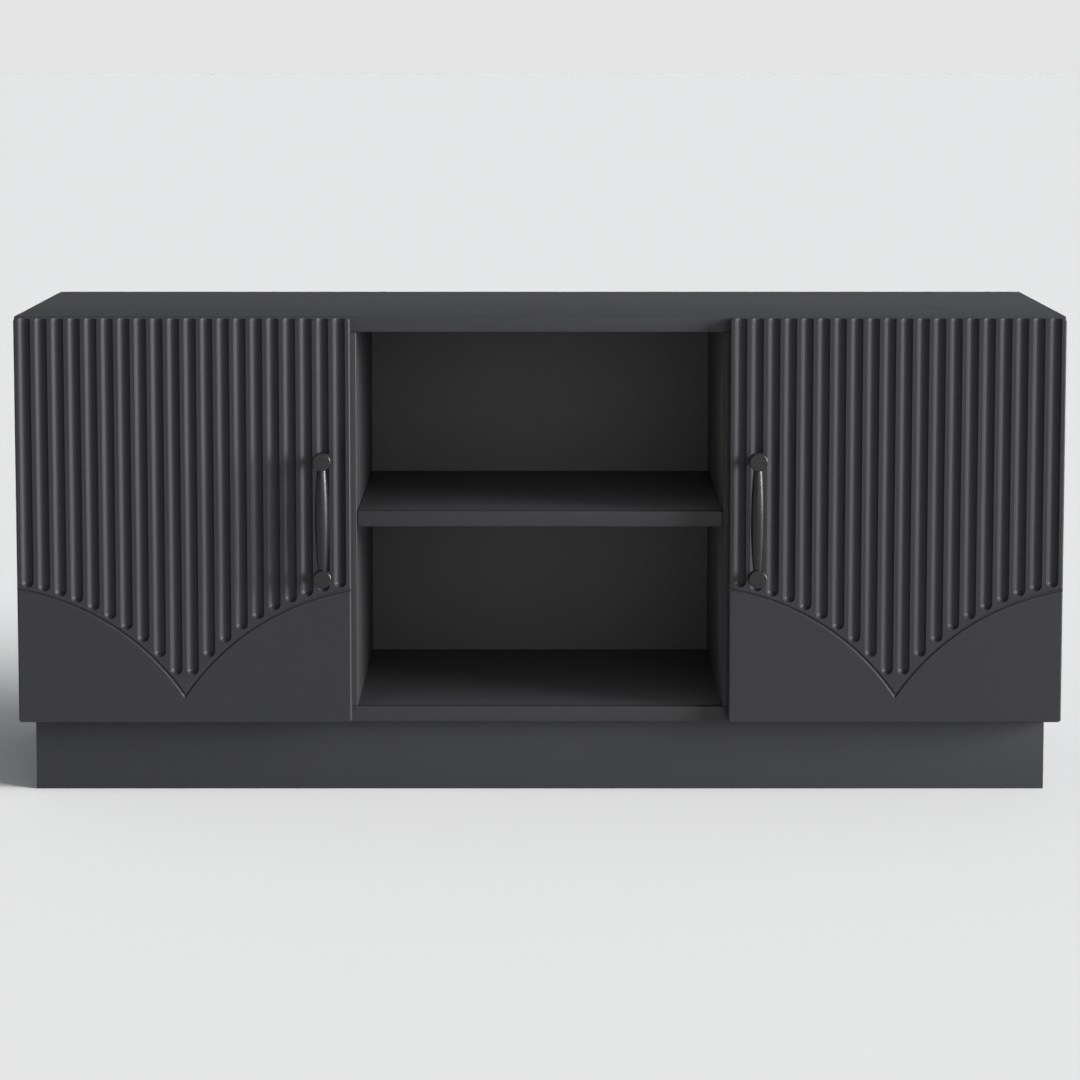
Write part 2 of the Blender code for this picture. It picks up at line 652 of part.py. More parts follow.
def make_hinge(name, side, level, height, link_empty, door_empty):
    pivot = corner_place(side, *LINK_PIVOT, height)
    link_holes = [hole_outline(Vector((0, 0))), hole_outline(CUP_PIVOT - LINK_PIVOT)]
    outlines = [to_world(side, outline) for outline in [link_outline(), *link_holes]]
    attach(plate(f"hinge_link_{name}_{level}", outlines, LINK_WIDTH, HINGE_METAL, pivot), link_empty)

    corner = corner_place(side, 0, 0, height)
    arm = plate(f"hinge_arm_{name}_{level}", [to_world(side, arm_outline())], ARM_WIDTH, HINGE_METAL, corner)
    slot_half = LINK_WIDTH / 2 + FIT_GAP
    slot = corner_box(
        f"hinge_arm_{name}_{level}_slot",
        side,
        (LINK_PIVOT.x - 2 * ARM_NOSE_RADIUS, LINK_PIVOT.x + 2 * ARM_NOSE_RADIUS),
        (-ARM_SLOT_BACK, LINK_PIVOT.y + 2 * ARM_NOSE_RADIUS),
        (height - slot_half, height + slot_half),
    )
    cut(arm, slot)
    pin_length = ARM_WIDTH - 2 * EDGE_EASE
    join(arm, rod(f"hinge_arm_{name}_{level}_pin", HINGE_PIN_RADIUS, pin_length, location=pivot))

    face = (BOARD + FIT_GAP, BOARD + FIT_GAP + PLATE_THICKNESS)
    rail = (height - PLATE_WIDTH / 2, height + PLATE_WIDTH / 2)
    base = corner_box(
        f"hinge_plate_{name}_{level}", side, face, (-PLATE_SPAN[1], -PLATE_SPAN[0]), rail, HINGE_METAL
    )
    wing = corner_box(
        f"hinge_plate_{name}_{level}_wing",
        side,
        (face[0] + FIT_GAP, face[1] - FIT_GAP),
        (-PLATE_WING_SETBACK - PLATE_WING_WIDTH / 2, -PLATE_WING_SETBACK + PLATE_WING_WIDTH / 2),
        (height - PLATE_WING_HEIGHT / 2, height + PLATE_WING_HEIGHT / 2),
    )
    join(base, wing)

    rim = CUP_RADIUS + CUP_RIM_LIP
    rim_back = -FIT_GAP - CUP_RIM_THICKNESS
    inside = CUP_RADIUS - CUP_WALL
    bottom = CUP_INSIDE_DEPTH + CUP_BOTTOM
    cup_profile = [
        (0, bottom),
        (CUP_RADIUS, bottom),
        (CUP_RADIUS, -FIT_GAP),
        (rim, -FIT_GAP),
        (rim, rim_back),
        (inside, rim_back),
        (inside, CUP_INSIDE_DEPTH),
        (0, CUP_INSIDE_DEPTH),
    ]
    cup = turned(
        f"hinge_cup_{name}_{level}",
        cup_profile,
        HINGE_METAL,
        corner_place(side, CUP_INWARD, DOOR_BACK, height),
        (math.pi / 2, 0, 0),
        CUP_SIDES,
    )
    spread = (CUP_INWARD - CUP_WING_WIDTH / 2, CUP_INWARD + CUP_WING_WIDTH / 2)
    rim_span = (DOOR_BACK + rim_back, DOOR_BACK - FIT_GAP)
    for end in (-1, 1):
        near = height + end * (CUP_RADIUS - CUP_WALL / 2)
        far = height + end * (CUP_RADIUS + CUP_WING_LENGTH)
        heights = sorted((near, far))
        join(cup, corner_box(f"hinge_cup_{name}_{level}_wing_{end}", side, spread, rim_span, heights))
    pin_edge = CUP_INWARD - CUP_PIVOT.x + HINGE_PIN_RADIUS
    pin_length = 2 * math.sqrt((CUP_RADIUS - CUP_WALL / 4) ** 2 - pin_edge**2)
    pin_place = corner_place(side, *CUP_PIVOT, height)
    join(cup, rod(f"hinge_cup_{name}_{level}_pin", HINGE_PIN_RADIUS, pin_length, location=pin_place))
    attach(cup, door_empty)


# ---------------------------------------------------------------- build


carcase_panels = make_carcase()
make_side_shelves(carcase_panels)
make_plinth()
for side_name, side_sign in SIDES.items():
    link_axis = axis_empty(f"{side_name}_link_axis", corner_place(side_sign, *LINK_PIVOT))
    door_axis = axis_empty(f"{side_name}_door_axis", corner_place(side_sign, *CUP_PIVOT))
    make_door(side_name, side_sign, door_axis)
    make_handle(side_name, side_sign, door_axis)
    make_bumpers(side_name, side_sign, door_axis)
    for level_name, hinge_height in HINGE_HEIGHTS.items():
        make_hinge(side_name, side_sign, level_name, hinge_height, link_axis, door_axis)
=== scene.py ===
# %% [markdown]
# # A low sideboard with fluted doors
#
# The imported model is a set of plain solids. This lesson gives them their real surfaces: lacquered
# boards with eased edges, doors routed with round-nosed flutes, turned handles and nickel hinges.
# Every length is in metres. +X is to the right, +Y to the back, +Z up, and the front faces -Y.

# %% Load the frame
import json
import math

import bmesh
import bpy
from mathutils import Matrix, Vector


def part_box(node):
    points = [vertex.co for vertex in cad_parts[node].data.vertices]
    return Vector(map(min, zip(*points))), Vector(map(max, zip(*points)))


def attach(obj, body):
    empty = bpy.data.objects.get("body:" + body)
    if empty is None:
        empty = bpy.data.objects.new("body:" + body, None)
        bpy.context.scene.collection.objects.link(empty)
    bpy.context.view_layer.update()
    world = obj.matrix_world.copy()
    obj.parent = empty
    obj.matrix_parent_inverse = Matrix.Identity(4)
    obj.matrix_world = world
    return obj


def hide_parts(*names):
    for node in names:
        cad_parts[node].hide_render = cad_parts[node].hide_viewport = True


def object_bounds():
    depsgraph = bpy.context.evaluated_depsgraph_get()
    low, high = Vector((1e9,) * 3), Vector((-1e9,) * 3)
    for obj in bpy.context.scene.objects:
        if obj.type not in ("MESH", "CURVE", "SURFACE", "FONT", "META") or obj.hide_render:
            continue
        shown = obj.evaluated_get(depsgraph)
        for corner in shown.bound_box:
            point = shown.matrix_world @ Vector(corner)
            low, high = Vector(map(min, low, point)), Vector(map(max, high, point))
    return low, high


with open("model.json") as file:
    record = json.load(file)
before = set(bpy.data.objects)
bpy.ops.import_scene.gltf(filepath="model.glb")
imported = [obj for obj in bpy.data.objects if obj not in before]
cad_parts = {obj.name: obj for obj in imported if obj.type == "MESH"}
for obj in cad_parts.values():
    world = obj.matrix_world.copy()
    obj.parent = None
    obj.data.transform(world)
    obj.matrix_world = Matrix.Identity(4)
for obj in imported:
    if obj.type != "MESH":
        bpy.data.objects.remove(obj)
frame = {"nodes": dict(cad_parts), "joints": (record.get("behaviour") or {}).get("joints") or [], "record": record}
MM = 0.001
cad_low, cad_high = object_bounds()
print("CAD box", [round(v, 3) for v in cad_high - cad_low])

# %% [markdown]
# ## Numbers that flow through a shader
#
# A material is a graph of nodes. Written out one by one, the nodes for a simple sum fill a page, so
# a small class wraps a socket: adding or multiplying two of them adds the Math node. The recipe
# holds the node tree, and its one method makes any other node.

# %% Shader maths
COLOUR_A, COLOUR_B, COLOUR_RESULT = 6, 7, 2  # the Mix node's sockets when it mixes colours


class Wire:
    """A node's output. Python's own operators on it add Math nodes."""

    def __init__(self, recipe, socket):
        self.recipe = recipe
        self.socket = socket

    def math(self, operation, first, second=0.0, clamp=False):
        settings = {"operation": operation, "use_clamp": clamp}
        return self.recipe.node("ShaderNodeMath", settings, {0: first, 1: second})

    def __add__(self, other):
        return self.math("ADD", self, other)

    def __radd__(self, other):
        return self.math("ADD", other, self)

    def __sub__(self, other):
        return self.math("SUBTRACT", self, other)

    def __rsub__(self, other):
        return self.math("SUBTRACT", other, self)

    def __mul__(self, other):
        return self.math("MULTIPLY", self, other)

    def __rmul__(self, other):
        return self.math("MULTIPLY", other, self)

    def clamped(self):
        return self.math("ADD", self, 0.0, clamp=True)


class Recipe:
    """A new material, and the one way to add a node to it."""

    def __init__(self, name):
        self.material = bpy.data.materials.new(name)
        self.material.use_nodes = True
        self.tree = self.material.node_tree
        self.shader = self.tree.nodes["Principled BSDF"]

    def feed(self, socket, value):
        if isinstance(value, Wire):
            self.tree.links.new(value.socket, socket)
        else:
            socket.default_value = value

    def node(self, kind, settings=None, inputs=None, output=0):
        made = self.tree.nodes.new(kind)
        for key, value in (settings or {}).items():
            setattr(made, key, value)
        for key, value in (inputs or {}).items():
            self.feed(made.inputs[key], value)
        return Wire(self, made.outputs[output])

    def place(self, scale=(1, 1, 1)):
        """Object coordinates in metres, squeezed where a pattern is drawn out."""
        coordinates = self.node("ShaderNodeTexCoord", output="Object")
        return self.node("ShaderNodeMapping", inputs={"Vector": coordinates, "Scale": scale})

    def noise(self, per_metre, detail=2.0, rough=0.5, vector=None):
        """Cloudy noise from 0 to 1, with about this many blobs in a metre."""
        inputs = {
            "Vector": vector or self.place(),
            "Scale": per_metre,
            "Detail": detail,
            "Roughness": rough,
        }
        return self.node("ShaderNodeTexNoise", {"noise_dimensions": "3D"}, inputs, "Fac")

    def step(self, value, low, high):
        """0 below low, 1 above high, and smooth between them."""
        inputs = {"Value": value, "From Min": low, "From Max": high}
        settings = {"interpolation_type": "SMOOTHSTEP"}
        return self.node("ShaderNodeMapRange", settings, inputs, "Result")

    def mix(self, factor, first, second):
        """A colour between two others."""
        inputs = {"Factor": factor, COLOUR_A: first, COLOUR_B: second}
        return self.node("ShaderNodeMix", {"data_type": "RGBA"}, inputs, COLOUR_RESULT)

    def attribute(self, name):
        return self.node("ShaderNodeAttribute", {"attribute_name": name}, output="Fac")

    def bump(self, height, depth):
        """A normal from a height pattern whose full range is this deep."""
        inputs = {"Height": height, "Strength": 1.0, "Distance": depth}
        return self.node("ShaderNodeBump", inputs=inputs, output="Normal")

    def set(self, **values):
        for name, value in values.items():
            self.feed(self.shader.inputs[name.replace("_", " ")], value)
        return self.material


def grey(level, tint):
    return (level * tint[0], level * tint[1], level * tint[2], 1.0)


print("shader helpers ready")

# %% [markdown]
# ## Graphite lacquer
#
# The boards and doors are sprayed with a satin lacquer. Sprayed paint is never quite flat: it has a
# soft orange peel about a millimetre across, faint clouds where the coat is thicker, and fine dust
# nibs. It runs thin on an arris, which looks a little paler and shinier. The vertex attribute
# "arris" marks those edges, because only the mesh knows where they are. The greys are cool. The
# boards of the open bay get a darker, less blue copy of the board lacquer: painted shade for the bay.

# %% Lacquer
COOL = (0.955, 0.98, 1.16)
PLAIN = (0.985, 0.995, 1.04)
ARRIS = "arris"


def lacquer(name, level, roughness, peel_depth, shine, tint=COOL):
    r = Recipe(name)
    clouds = r.noise(5.0, 3.0, 0.55)
    coat = r.noise(38.0, 2.0, 0.5)
    peel = r.noise(620.0, 2.0, 0.55)
    nibs = r.step(r.noise(2100.0, 1.0, 0.4), 0.70, 0.80)
    thin = r.attribute(ARRIS)
    shade = (clouds - 0.5) * 0.20 + (coat - 0.5) * 0.14 + 0.5
    base = r.mix(shade.clamped(), grey(level * 0.86, tint), grey(level * 1.14, tint))
    worn = r.mix(thin * (coat * 0.5 + 0.25), base, grey(level * 1.7, tint))
    handled = r.step(r.noise(14.0, 3.0, 0.6), 0.52, 0.75)
    gloss = roughness + (peel - 0.5) * 0.05 + handled * 0.035 + nibs * 0.08 - thin * 0.04
    height = peel * 0.8 + nibs * 0.5
    return r.set(
        Base_Color=worn,
        Roughness=gloss.clamped(),
        Normal=r.bump(height, peel_depth),
        Specular_IOR_Level=shine,
    )


door_lacquer = lacquer("fluted_door_lacquer", 0.0175, 0.47, 0.018 * MM, 0.26)
board_lacquer = lacquer("board_lacquer", 0.0250, 0.46, 0.016 * MM, 0.22)
# A darker, less blue copy of board_lacquer: painted shade for the inside of the open bay.
bay_painted_shade_lacquer = lacquer("bay_painted_shade_lacquer", 0.0225, 0.46, 0.016 * MM, 0.22, PLAIN)
print("lacquers", [m.name for m in (door_lacquer, board_lacquer, bay_painted_shade_lacquer)])

# %% [markdown]
# ## Back board, metals and plastic
#
# The thin back is painted on one side with the hard roller's fine stipple. The handles are cast,
# then sprayed a satin dark grey with a fine metallic grain. The hinges are nickel plate, whose faint
# drawing lines follow the strip they were pressed from, and the screws and pins are bright zinc.

# %% More finishes


def back_paint(name, level):
    r = Recipe(name)
    stipple = r.noise(420.0, 3.0, 0.65)
    clouds = r.noise(7.0, 2.0, 0.5)
    shade = (clouds - 0.5) * 0.5 + (stipple - 0.5) * 0.4 + 0.5
    base = r.mix(shade.clamped(), grey(level * 0.84, PLAIN), grey(level * 1.16, PLAIN))
    rough = 0.58 + (stipple - 0.5) * 0.12
    return r.set(
        Base_Color=base,
        Roughness=rough.clamped(),
        Normal=r.bump(stipple, 0.03 * MM),
        Specular_IOR_Level=0.15,
    )


def cast_metal(name, level):
    r = Recipe(name)
    grain = r.noise(1500.0, 2.0, 0.6)
    skin = r.noise(160.0, 3.0, 0.6)
    rubbed = r.step(r.noise(55.0, 2.0, 0.5), 0.5, 0.8)
    shade = (grain - 0.5) * 0.5 + (skin - 0.5) * 0.4 + 0.5
    base = r.mix(shade.clamped(), grey(level * 0.8, PLAIN), grey(level * 1.25, PLAIN))
    rough = 0.28 + (grain - 0.5) * 0.10 - rubbed * 0.05
    return r.set(
        Base_Color=base,
        Roughness=rough.clamped(),
        Metallic=0.35,
        Normal=r.bump(skin * 0.7 + grain * 0.3, 0.03 * MM),
        Specular_IOR_Level=0.5,
    )


def plated(name, level, tint, roughness, drawn):
    r = Recipe(name)
    lines = r.noise(60.0, 3.0, 0.6, r.place(scale=drawn))
    spots = r.noise(90.0, 3.0, 0.6)
    shade = (spots * 0.5 + lines * 0.5).clamped()
    base = r.mix(shade, grey(level * 0.88, tint), grey(level * 1.08, tint))
    rough = roughness + (lines - 0.5) * 0.16 + (spots - 0.5) * 0.10
    return r.set(
        Base_Color=base, Roughness=rough.clamped(), Metallic=1.0, Normal=r.bump(lines, 0.012 * MM)
    )


def soft_plastic(name):
    r = Recipe(name)
    haze = r.noise(260.0, 2.0, 0.5)
    base = r.mix(haze, (0.50, 0.50, 0.49, 1), (0.66, 0.66, 0.65, 1))
    rough = 0.35 + haze * 0.2
    return r.set(Base_Color=base, Roughness=rough.clamped(), Subsurface_Weight=0.2)


back_board_paint = back_paint("back_board_paint", 0.034)
handle_finish = cast_metal("handle_finish", 0.011)
nickel = plated("nickel_plate", 0.62, (1.0, 0.975, 0.94), 0.24, (1.0, 14.0, 1.0))
zinc = plated("zinc_plate", 0.56, (0.97, 0.99, 1.0), 0.30, (10.0, 1.0, 10.0))
bumper_plastic = soft_plastic("bumper_plastic")
print(len(bpy.data.materials), "materials")

# %% [markdown]
# ## From a bmesh to a piece
#
# Each piece starts as a bmesh and ends as an object at the origin with its place in its mesh. The
# same few steps finish every one: merge, point the faces outwards, shade smooth except across
# sharp edges, give it a finish, and say which CAD body it rides on and which CAD node it stands for.

# %% Finishing a piece
body_nodes = frame["record"]["behaviour"]["bodies"]
BODIES = {node: body for body, nodes in body_nodes.items() for node in nodes}
SMOOTH_BELOW = math.radians(35)
MERGE = 0.002 * MM


def new_object(name, bm):
    mesh = bpy.data.meshes.new(name)
    bm.to_mesh(mesh)
    bm.free()
    obj = bpy.data.objects.new(name, mesh)
    bpy.context.scene.collection.objects.link(obj)
    return obj


def tidy_normals(bm):
    bmesh.ops.remove_doubles(bm, verts=bm.verts, dist=MERGE)
    bmesh.ops.recalc_face_normals(bm, faces=bm.faces)


def bake_modifiers(obj):
    graph = bpy.context.evaluated_depsgraph_get()
    graph.update()
    mesh = bpy.data.meshes.new_from_object(obj.evaluated_get(graph))
    obj.modifiers.clear()
    obj.data = mesh
    return obj


def boolean(obj, others, operation):
    """Cut or join other objects with this one, then remove them."""
    for other in others:
        modifier = obj.modifiers.new(other.name, "BOOLEAN")
        modifier.operation = operation
        modifier.object = other
        modifier.solver = "EXACT"
    bake_modifiers(obj)
    for other in others:
        bpy.data.objects.remove(other)
    return obj


def soften(obj, width, segments=2, angle=40):
    """Round every edge sharper than this angle."""
    bevel = obj.modifiers.new("soften", "BEVEL")
    bevel.width = width
    bevel.segments = segments
    bevel.limit_method = "ANGLE"
    bevel.angle_limit = math.radians(angle)
    bevel.use_clamp_overlap = True
    return bake_modifiers(obj)


def dress(obj, material, smooth_below=SMOOTH_BELOW):
    """Give a piece one finish, and shade it smooth except across its sharp edges."""
    obj.data.materials.clear()
    obj.data.materials.append(material)
    obj.data.shade_smooth()
    obj.data.set_sharp_from_angle(angle=smooth_below)


def finish(obj, material, node, smooth_below=SMOOTH_BELOW):
    """Give a piece its finish, its body and the CAD node that it stands for."""
    dress(obj, material, smooth_below)
    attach(obj, BODIES[node])
    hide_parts(node)
    return obj


def mark(obj, values):
    """Write how worn each vertex is, from 0 to 1, for the lacquer to read."""
    attribute = obj.data.attributes.new(ARRIS, "FLOAT", "POINT")
    attribute.data.foreach_set("value", values)


def mark_arrises(obj, low, high, reach):
    """Mark a board's eased edges: 0 on a flat face, 1 in the middle of a rounding."""
    values = []
    for vertex in obj.data.vertices:
        off = [min(abs(vertex.co[i] - low[i]), abs(vertex.co[i] - high[i])) for i in range(3)]
        nearest, second = sorted(off)[:2]
        values.append(min(1.0, nearest * 3 / reach) if second < reach else 0.0)
    mark(obj, values)


def block(low, high):
    """A bmesh box between two corners."""
    low, high = Vector(low), Vector(high)
    bm = bmesh.new()
    bmesh.ops.create_cube(bm, size=1)
    bmesh.ops.scale(bm, vec=high - low, verts=bm.verts)
    bmesh.ops.translate(bm, vec=(low + high) / 2, verts=bm.verts)
    return bm


def round_edges(bm, edges, width, segments):
    bmesh.ops.bevel(
        bm, geom=edges, offset=width, segments=segments, profile=0.5, affect="EDGES", material=-1,
        offset_type="OFFSET",
    )


# %% [markdown]
# ## The boards
#
# A furniture board is a box with its edges eased by about a millimetre, and that small rounding is
# what catches the light along a carcase. Bevelling every edge of a cube does it. The back sits in a
# groove, so the boards round it are cut by one tunnel-shaped block, as a saw would do it.

# %% Boards
BOARD_EASE = 1.0 * MM
EASE_STEPS = 4
ARRIS_REACH = 1.05  # of the easing's width
BACK_EASE = 0.3 * MM
GROOVE_PLAY = 0.3 * MM
back_low, back_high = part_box("back_panel")


def board(node, material=board_lacquer, ease=BOARD_EASE, grooved=False):
    low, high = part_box(node)
    bm = block(low, high)
    round_edges(bm, bm.edges[:], ease, EASE_STEPS)
    obj = new_object(node + "_board", bm)
    if grooved:
        play = Vector((GROOVE_PLAY,) * 3)
        boolean(obj, [new_object("groove", block(back_low - play, back_high + play))], "DIFFERENCE")
    mark_arrises(obj, low, high, ease * ARRIS_REACH)
    return finish(obj, material, node)


for node in ("top_panel", "side_panel_left", "side_panel_right"):
    board(node, grooved=True)
# The bottom panel and the inner boards get the copy of the lacquer that carries the bay's painted shade.
board("bottom_panel", bay_painted_shade_lacquer, grooved=True)
inner_boards = ["centre_shelf", "left_shelf", "right_shelf", "partition_left", "partition_right"]
for node in inner_boards:
    board(node, bay_painted_shade_lacquer)
outer_boards = [node for node in frame["nodes"] if node.startswith("plinth_")]
for node in sorted(outer_boards):
    board(node)
board("back_panel", back_board_paint, BACK_EASE)
print("boards", len(inner_boards) + len(outer_boards) + 5)

# %% [markdown]
# ## Turned shapes and pressed shapes
#
# Most of the small fittings come off a lathe, so one helper spins a profile round an axis. The
# profile is a list of corners, each with its own rounding, because no real arris is perfectly sharp.
# Flat fittings come from a press: an outline, given a thickness, with its edges softened.

# %% Profiles
BACKWARD = (0, 1, 0)
UP = (0, 0, 1)


def rounded(corners, steps=4):
    """A 2D profile from (x, y, rounding) corners; a rounding of 0 leaves the corner sharp."""
    points = []
    for i, (x, y, radius) in enumerate(corners):
        corner = Vector((x, y))
        if radius == 0:
            points.append(corner)
            continue
        back = (Vector(corners[i - 1][:2]) - corner).normalized()
        on = (Vector(corners[(i + 1) % len(corners)][:2]) - corner).normalized()
        half = back.angle(on) / 2
        centre = corner + (back + on).normalized() * radius / math.sin(half)
        first = corner + back * radius / math.tan(half) - centre
        last = corner + on * radius / math.tan(half) - centre
        start = math.atan2(first.y, first.x)
        sweep = (math.atan2(last.y, last.x) - start + math.pi) % (2 * math.pi) - math.pi
        angles = [start + sweep * s / steps for s in range(steps + 1)]
        points += [centre + radius * Vector((math.cos(a), math.sin(a))) for a in angles]
    return points


def lathe(profile, centre, axis, steps=48):
    """A bmesh turned from (radius, along) points round a centre and an axis."""
    centre, axis = Vector(centre), Vector(axis).normalized()
    side = axis.orthogonal().normalized()
    bm = bmesh.new()
    verts = [bm.verts.new(centre + side * radius + axis * along) for radius, along in profile]
    edges = [bm.edges.new(pair) for pair in zip(verts, verts[1:])]
    bmesh.ops.spin(
        bm, geom=verts + edges, cent=centre, axis=axis, angle=math.tau, steps=steps, use_merge=True
    )
    tidy_normals(bm)
    return bm


def pressed(outline, low, high):
    """A bmesh plate: a flat (x, y) outline between two heights."""
    bm = bmesh.new()
    face = bm.faces.new([bm.verts.new((x, y, low)) for x, y in outline])
    made = bmesh.ops.extrude_face_region(bm, geom=[face])
    top = [part for part in made["geom"] if isinstance(part, bmesh.types.BMVert)]
    bmesh.ops.translate(bm, vec=(0, 0, high - low), verts=top)
    tidy_normals(bm)
    return bm


def cylinder(name, radius, centre, axis, reach, steps=48):
    """A plain cutter or rod, this far each way from its centre."""
    profile = [(0, -reach), (radius, -reach), (radius, reach), (0, reach)]
    return new_object(name, lathe(profile, centre, axis, steps))


def even_normals(obj):
    """Let large flat faces keep their own normals, so that only the roundings shade round."""
    weighted = obj.modifiers.new("even normals", "WEIGHTED_NORMAL")
    weighted.mode = "FACE_AREA"
    weighted.keep_sharp = True
    return obj


print("lathe and press ready")

# %% [markdown]
# ## Door blanks
#
# Each door is one piece of fibreboard, 18 mm thick. Its corners and its front edge are rounded on a
# router before any pattern is cut. A cube with two rounds of bevelling gives that: first the four
# edges that run through the thickness, then the rim of the front face, and a smaller ease behind.

# %% Door blanks
DOOR_CORNER = 3.5 * MM
DOOR_ROUNDING = 2.0 * MM
DOOR_BACK_EASE = 0.8 * MM
CORNER_STEPS, ROUNDING_STEPS, BACK_STEPS = 7, 6, 3
DOORS = {side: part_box(f"door_{side}") for side in ("left", "right")}


def door_blank(side):
    low, high = DOORS[side]
    bm = block(low, high)
    through = [e for e in bm.edges if abs(e.verts[0].co.y - e.verts[1].co.y) > MM]
    round_edges(bm, through, DOOR_CORNER, CORNER_STEPS)
    rims = ((low.y, DOOR_ROUNDING, ROUNDING_STEPS), (high.y, DOOR_BACK_EASE, BACK_STEPS))
    for plane, width, steps in rims:
        faces = [f for f in bm.faces if all(abs(v.co.y - plane) < MERGE for v in f.verts)]
        rim = {e for f in faces for e in f.edges}
        round_edges(bm, list(rim), width, steps)
    return new_object(f"fluted_door_{side}", bm)


print("door size", [round(v, 4) for v in DOORS["left"][1] - DOORS["left"][0]])

# %% [markdown]
# ## Flutes
#
# A flute is what a round-nosed cutter leaves when it plunges into the board, then runs up and out
# through the top edge. Sanding leaves its arris rounded by about a third of a millimetre. The
# cutter here has that rounding in its own profile: half of it is spun for the plunge, and the open
# end is extruded upwards for the run. One Boolean then cuts all twenty flutes of a door.

# %% Flute cutter
FLUTES = 20
FLUTE_PITCH = 18.8 * MM
FLUTE_WIDTH = 13.7 * MM
FLUTE_DEPTH = 4.5 * MM
FLUTE_RADIUS = (FLUTE_WIDTH**2 / 4 + FLUTE_DEPTH**2) / (2 * FLUTE_DEPTH)
FLUTE_ARRIS = 0.3 * MM
FLUTE_STEPS = 9
PLUNGE_STEPS = 18
ARRIS_STEPS = 4
RUN_OUT = 5 * MM
LINE_TIP = 31.0 * MM
LINE_RISE = 123.0 * MM
LINE_BEND = 285.0 * MM
FLUTE_TO_LINE = 11.2 * MM


def nose_profile(radius, depth, arris, steps, clear):
    """Half a cut as (across, above the face) points: its bottom, its arris, then clear air."""
    axis = radius - depth
    lean = math.acos((axis + arris) / (radius + arris))
    points = []
    for i in range(steps + 1):
        a = lean * i / steps
        points.append(Vector((radius * math.sin(a), axis - radius * math.cos(a))))
    centre = Vector(((radius + arris) * math.sin(lean), -arris))
    for i in range(1, ARRIS_STEPS + 1):
        a = lean * (1 - i / ARRIS_STEPS)
        points.append(centre + arris * Vector((-math.sin(a), math.cos(a))))
    points[-1] += (points[-1] - points[-2]) * 0.8  # so that no cut edge lies in the door's face
    return points + [Vector((points[-1].x, clear)), Vector((0, clear))]


door_width = DOORS["left"][1].x - DOORS["left"][0].x
chord = math.hypot(door_width / 2, LINE_RISE)
bend_in = math.sqrt(LINE_BEND**2 - chord**2 / 4)
BEND_CENTRE = Vector(
    (door_width / 4 + bend_in * LINE_RISE / chord, LINE_RISE / 2 - bend_in * door_width / 2 / chord)
)


def line_height(along, outwards=0.0):
    """Height above the carved line's tip, at a distance from the door's middle."""
    sideways = abs(along) - BEND_CENTRE.x
    return BEND_CENTRE.y + math.sqrt((LINE_BEND + outwards) ** 2 - sideways**2)


def flute_places(side):
    """(X, height of the round end) of every flute on a door."""
    low, high = DOORS[side]
    middle, tip = (low.x + high.x) / 2, low.z + LINE_TIP
    alongs = [(i - (FLUTES - 1) / 2) * FLUTE_PITCH for i in range(FLUTES)]
    return [(middle + a, tip + line_height(a, FLUTE_TO_LINE)) for a in alongs]


def flute_cutter(side):
    low, high = DOORS[side]
    profile = nose_profile(FLUTE_RADIUS, FLUTE_DEPTH, FLUTE_ARRIS, FLUTE_STEPS, 3 * MM)
    whole = bmesh.new()
    for x, end in flute_places(side):
        bm = bmesh.new()
        verts = [bm.verts.new((x + across, low.y - above, end)) for across, above in profile]
        edges = [bm.edges.new(pair) for pair in zip(verts, verts[1:])]
        bmesh.ops.spin(
            bm, geom=verts + edges, cent=(x, low.y, end), axis=BACKWARD, angle=math.pi,
            steps=PLUNGE_STEPS,
        )
        bmesh.ops.remove_doubles(bm, verts=bm.verts, dist=MERGE)
        rim = [e for e in bm.edges if e.is_boundary]
        run = bmesh.ops.extrude_edge_only(bm, edges=rim)["geom"]
        moved = [part for part in run if isinstance(part, bmesh.types.BMVert)]
        bmesh.ops.translate(bm, vec=(0, 0, high.z + RUN_OUT - end), verts=moved)
        bmesh.ops.holes_fill(bm, edges=[e for e in bm.edges if e.is_boundary], sides=0)
        tidy_normals(bm)
        mesh = bpy.data.meshes.new("flute")
        bm.to_mesh(mesh)
        bm.free()
        whole.from_mesh(mesh)
        bpy.data.meshes.remove(mesh)
    return new_object("flute_cutter", whole)


print("flute cutter radius", round(FLUTE_RADIUS / MM, 2), "mm")

# %% [markdown]
# ## The carved line
#
# Under the flutes a fine groove runs down from each side and meets in a point. Each half is part of
# a circle, so spinning the small cutter's profile about that circle's middle sweeps it exactly. The
# half is cut off square on the door's middle and mirrored, which mitres the two into a clean point.

# %% Line cutter
LINE_CUTTER = 2.0 * MM
LINE_DEPTH = 1.38 * MM
LINE_ARRIS = 0.3 * MM
LINE_STEPS = 5
SWEEP_STEPS = 96
PAST_TIP = 6 * MM
PAST_SIDE = 5 * MM
print("line depth", round(LINE_DEPTH / MM, 2), "mm")


def everything(bm):
    return bm.verts[:] + bm.edges[:] + bm.faces[:]


